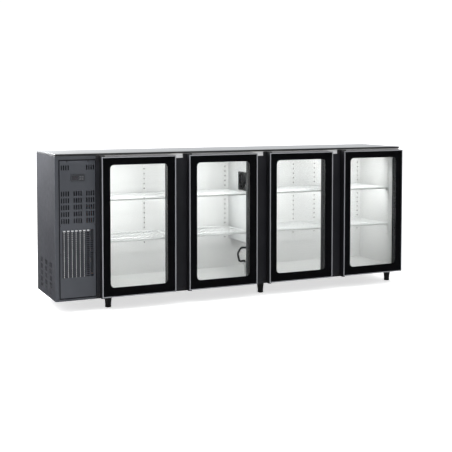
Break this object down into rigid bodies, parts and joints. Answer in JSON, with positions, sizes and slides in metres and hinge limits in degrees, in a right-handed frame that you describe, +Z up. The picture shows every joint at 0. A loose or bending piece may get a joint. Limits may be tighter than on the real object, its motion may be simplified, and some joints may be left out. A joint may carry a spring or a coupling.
{
  "type": "under counter fridge",
  "caption": "Long low bar fridge with hinged double-glazed doors, wire shelves, a motor bay with grilles and controller on the left, and short legs.",
  "frame": {"origin": "on the floor, at the middle of the object's footprint (bounding box bottom centre)", "axes": "+X to the right seen from the front, along the doors; -Y towards the user, out of the doors; +Z up"},
  "size_m": [2.19, 0.455, 0.85],
  "materials": {
    "stainless": "satin brushed stainless sheet",
    "header_aluminium": "satin anodised",
    "frame_paint": "semi-gloss dark grey",
    "case_paint": "textured charcoal powder coat",
    "galvanised": "galvanised sheet",
    "foam": "rigid polyurethane foam",
    "liner": "white coated sheet",
    "hinge_steel": "black painted steel",
    "pin_steel": "ground steel",
    "leg_plastic": "black moulded nylon",
    "shelf_wire": "white plastic-coated wire",
    "rail_steel": "bright zinc-plated strip",
    "clip_plastic": "white moulded clip",
    "fin_aluminium": "bare fins",
    "fan_plastic": "black glass-filled plastic",
    "tray_plastic": "light grey moulding",
    "hose_rubber": "black hose",
    "led_diffuser": "opal diffuser",
    "screw_black": "black oxide",
    "controller_plastic": "black moulding with a smoked display",
    "key_plastic": "grey keys",
    "compressor_paint": "black enamel",
    "copper": "bare copper",
    "door_profile": "black anodised with a bright front edge",
    "glass": "clear double glazing with a black printed border",
    "spacer_aluminium": "mill finish",
    "gasket_rubber": "dark grey magnetic gasket"
  },
  "bodies": {
    "cabinet": {"worktop": "stainless", "header_rail": "header_aluminium", "front_frame": "frame_paint", "mullions": "frame_paint", "motor_side_panel": "case_paint", "right_side_panel": "case_paint", "back_panel": "galvanised", "base_panel": "galvanised", "insulation": "foam", "inner_liner": "liner", "hinge_plates": "hinge_steel", "hinge_pins": "pin_steel", "legs": "leg_plastic", "upper_shelves": "shelf_wire", "lower_shelves": "shelf_wire", "shelf_rails": "rail_steel", "shelf_clips": "clip_plastic", "evaporator_cover": "liner", "evaporator_coil": "fin_aluminium", "evaporator_fan_frames": "fan_plastic", "drain_tray": "tray_plastic", "drain_hose": "hose_rubber", "light_strips": "led_diffuser", "motor_bay_frame": "case_paint", "motor_panel": "case_paint", "panel_screws": "screw_black", "controller_case": "controller_plastic", "compressor": "compressor_paint", "compressor_mounts": "hose_rubber", "condensing_base": "galvanised", "condenser_coil": "fin_aluminium", "fan_shroud": "galvanised", "condenser_fan_motor": "compressor_paint", "evaporation_pan": "tray_plastic", "refrigerant_pipes": "copper", "filter_drier": "copper", "cable_gland": "fan_plastic"},
    "condenser_fan": {"condenser_fan_blade": "fan_plastic"},
    "evaporator_fan_left": {"evaporator_fan_1": "fan_plastic"},
    "evaporator_fan_right": {"evaporator_fan_2": "fan_plastic"},
    "key_1": {"controller_key_1": "key_plastic"},
    "key_2": {"controller_key_2": "key_plastic"},
    "key_3": {"controller_key_3": "key_plastic"},
    "key_4": {"controller_key_4": "key_plastic"},
    "door_1": {"door_1_frame": "door_profile", "door_1_glazing": "glass", "door_1_spacer": "spacer_aluminium", "door_1_gasket": "gasket_rubber"},
    "door_2": {"door_2_frame": "door_profile", "door_2_glazing": "glass", "door_2_spacer": "spacer_aluminium", "door_2_gasket": "gasket_rubber"},
    "door_3": {"door_3_frame": "door_profile", "door_3_glazing": "glass", "door_3_spacer": "spacer_aluminium", "door_3_gasket": "gasket_rubber"},
    "door_4": {"door_4_frame": "door_profile", "door_4_glazing": "glass", "door_4_spacer": "spacer_aluminium", "door_4_gasket": "gasket_rubber"}
  },
  "joints": [
    {"name": "door_1_hinge", "type": "hinge", "parent": "cabinet", "child": "door_1", "pos_m": [-0.842, -0.2045, 0.4575], "axis": [0, 0, -1], "range_deg": [0, 105], "stiffness_Nm_per_rad": 0.5},
    {"name": "door_2_hinge", "type": "hinge", "parent": "cabinet", "child": "door_2", "pos_m": [-0.337, -0.2045, 0.4575], "axis": [0, 0, -1], "range_deg": [0, 105], "stiffness_Nm_per_rad": 0.5},
    {"name": "door_3_hinge", "type": "hinge", "parent": "cabinet", "child": "door_3", "pos_m": [0.168, -0.2045, 0.4575], "axis": [0, 0, -1], "range_deg": [0, 105], "stiffness_Nm_per_rad": 0.5},
    {"name": "door_4_hinge", "type": "hinge", "parent": "cabinet", "child": "door_4", "pos_m": [0.673, -0.2045, 0.4575], "axis": [0, 0, -1], "range_deg": [0, 105], "stiffness_Nm_per_rad": 0.5},
    {"name": "condenser_fan_spin", "type": "hinge", "parent": "cabinet", "child": "condenser_fan", "pos_m": [-0.982, -0.0825, 0.3135], "axis": [0, 1, 0], "continuous": true},
    {"name": "evaporator_fan_left_spin", "type": "hinge", "parent": "cabinet", "child": "evaporator_fan_left", "pos_m": [0.096, -0.0095, 0.655], "axis": [-1, 0, 0], "continuous": true},
    {"name": "evaporator_fan_right_spin", "type": "hinge", "parent": "cabinet", "child": "evaporator_fan_right", "pos_m": [0.216, -0.0095, 0.655], "axis": [1, 0, 0], "continuous": true},
    {"name": "controller_key_1_press", "type": "slide", "parent": "cabinet", "child": "key_1", "axis": [0, 1, 0], "range_m": [0, 0.0006], "stiffness_N_per_m": 400},
    {"name": "controller_key_2_press", "type": "slide", "parent": "cabinet", "child": "key_2", "axis": [0, 1, 0], "range_m": [0, 0.0006], "stiffness_N_per_m": 400},
    {"name": "controller_key_3_press", "type": "slide", "parent": "cabinet", "child": "key_3", "axis": [0, 1, 0], "range_m": [0, 0.0006], "stiffness_N_per_m": 400},
    {"name": "controller_key_4_press", "type": "slide", "parent": "cabinet", "child": "key_4", "axis": [0, 1, 0], "range_m": [0, 0.0006], "stiffness_N_per_m": 400}
  ]
}
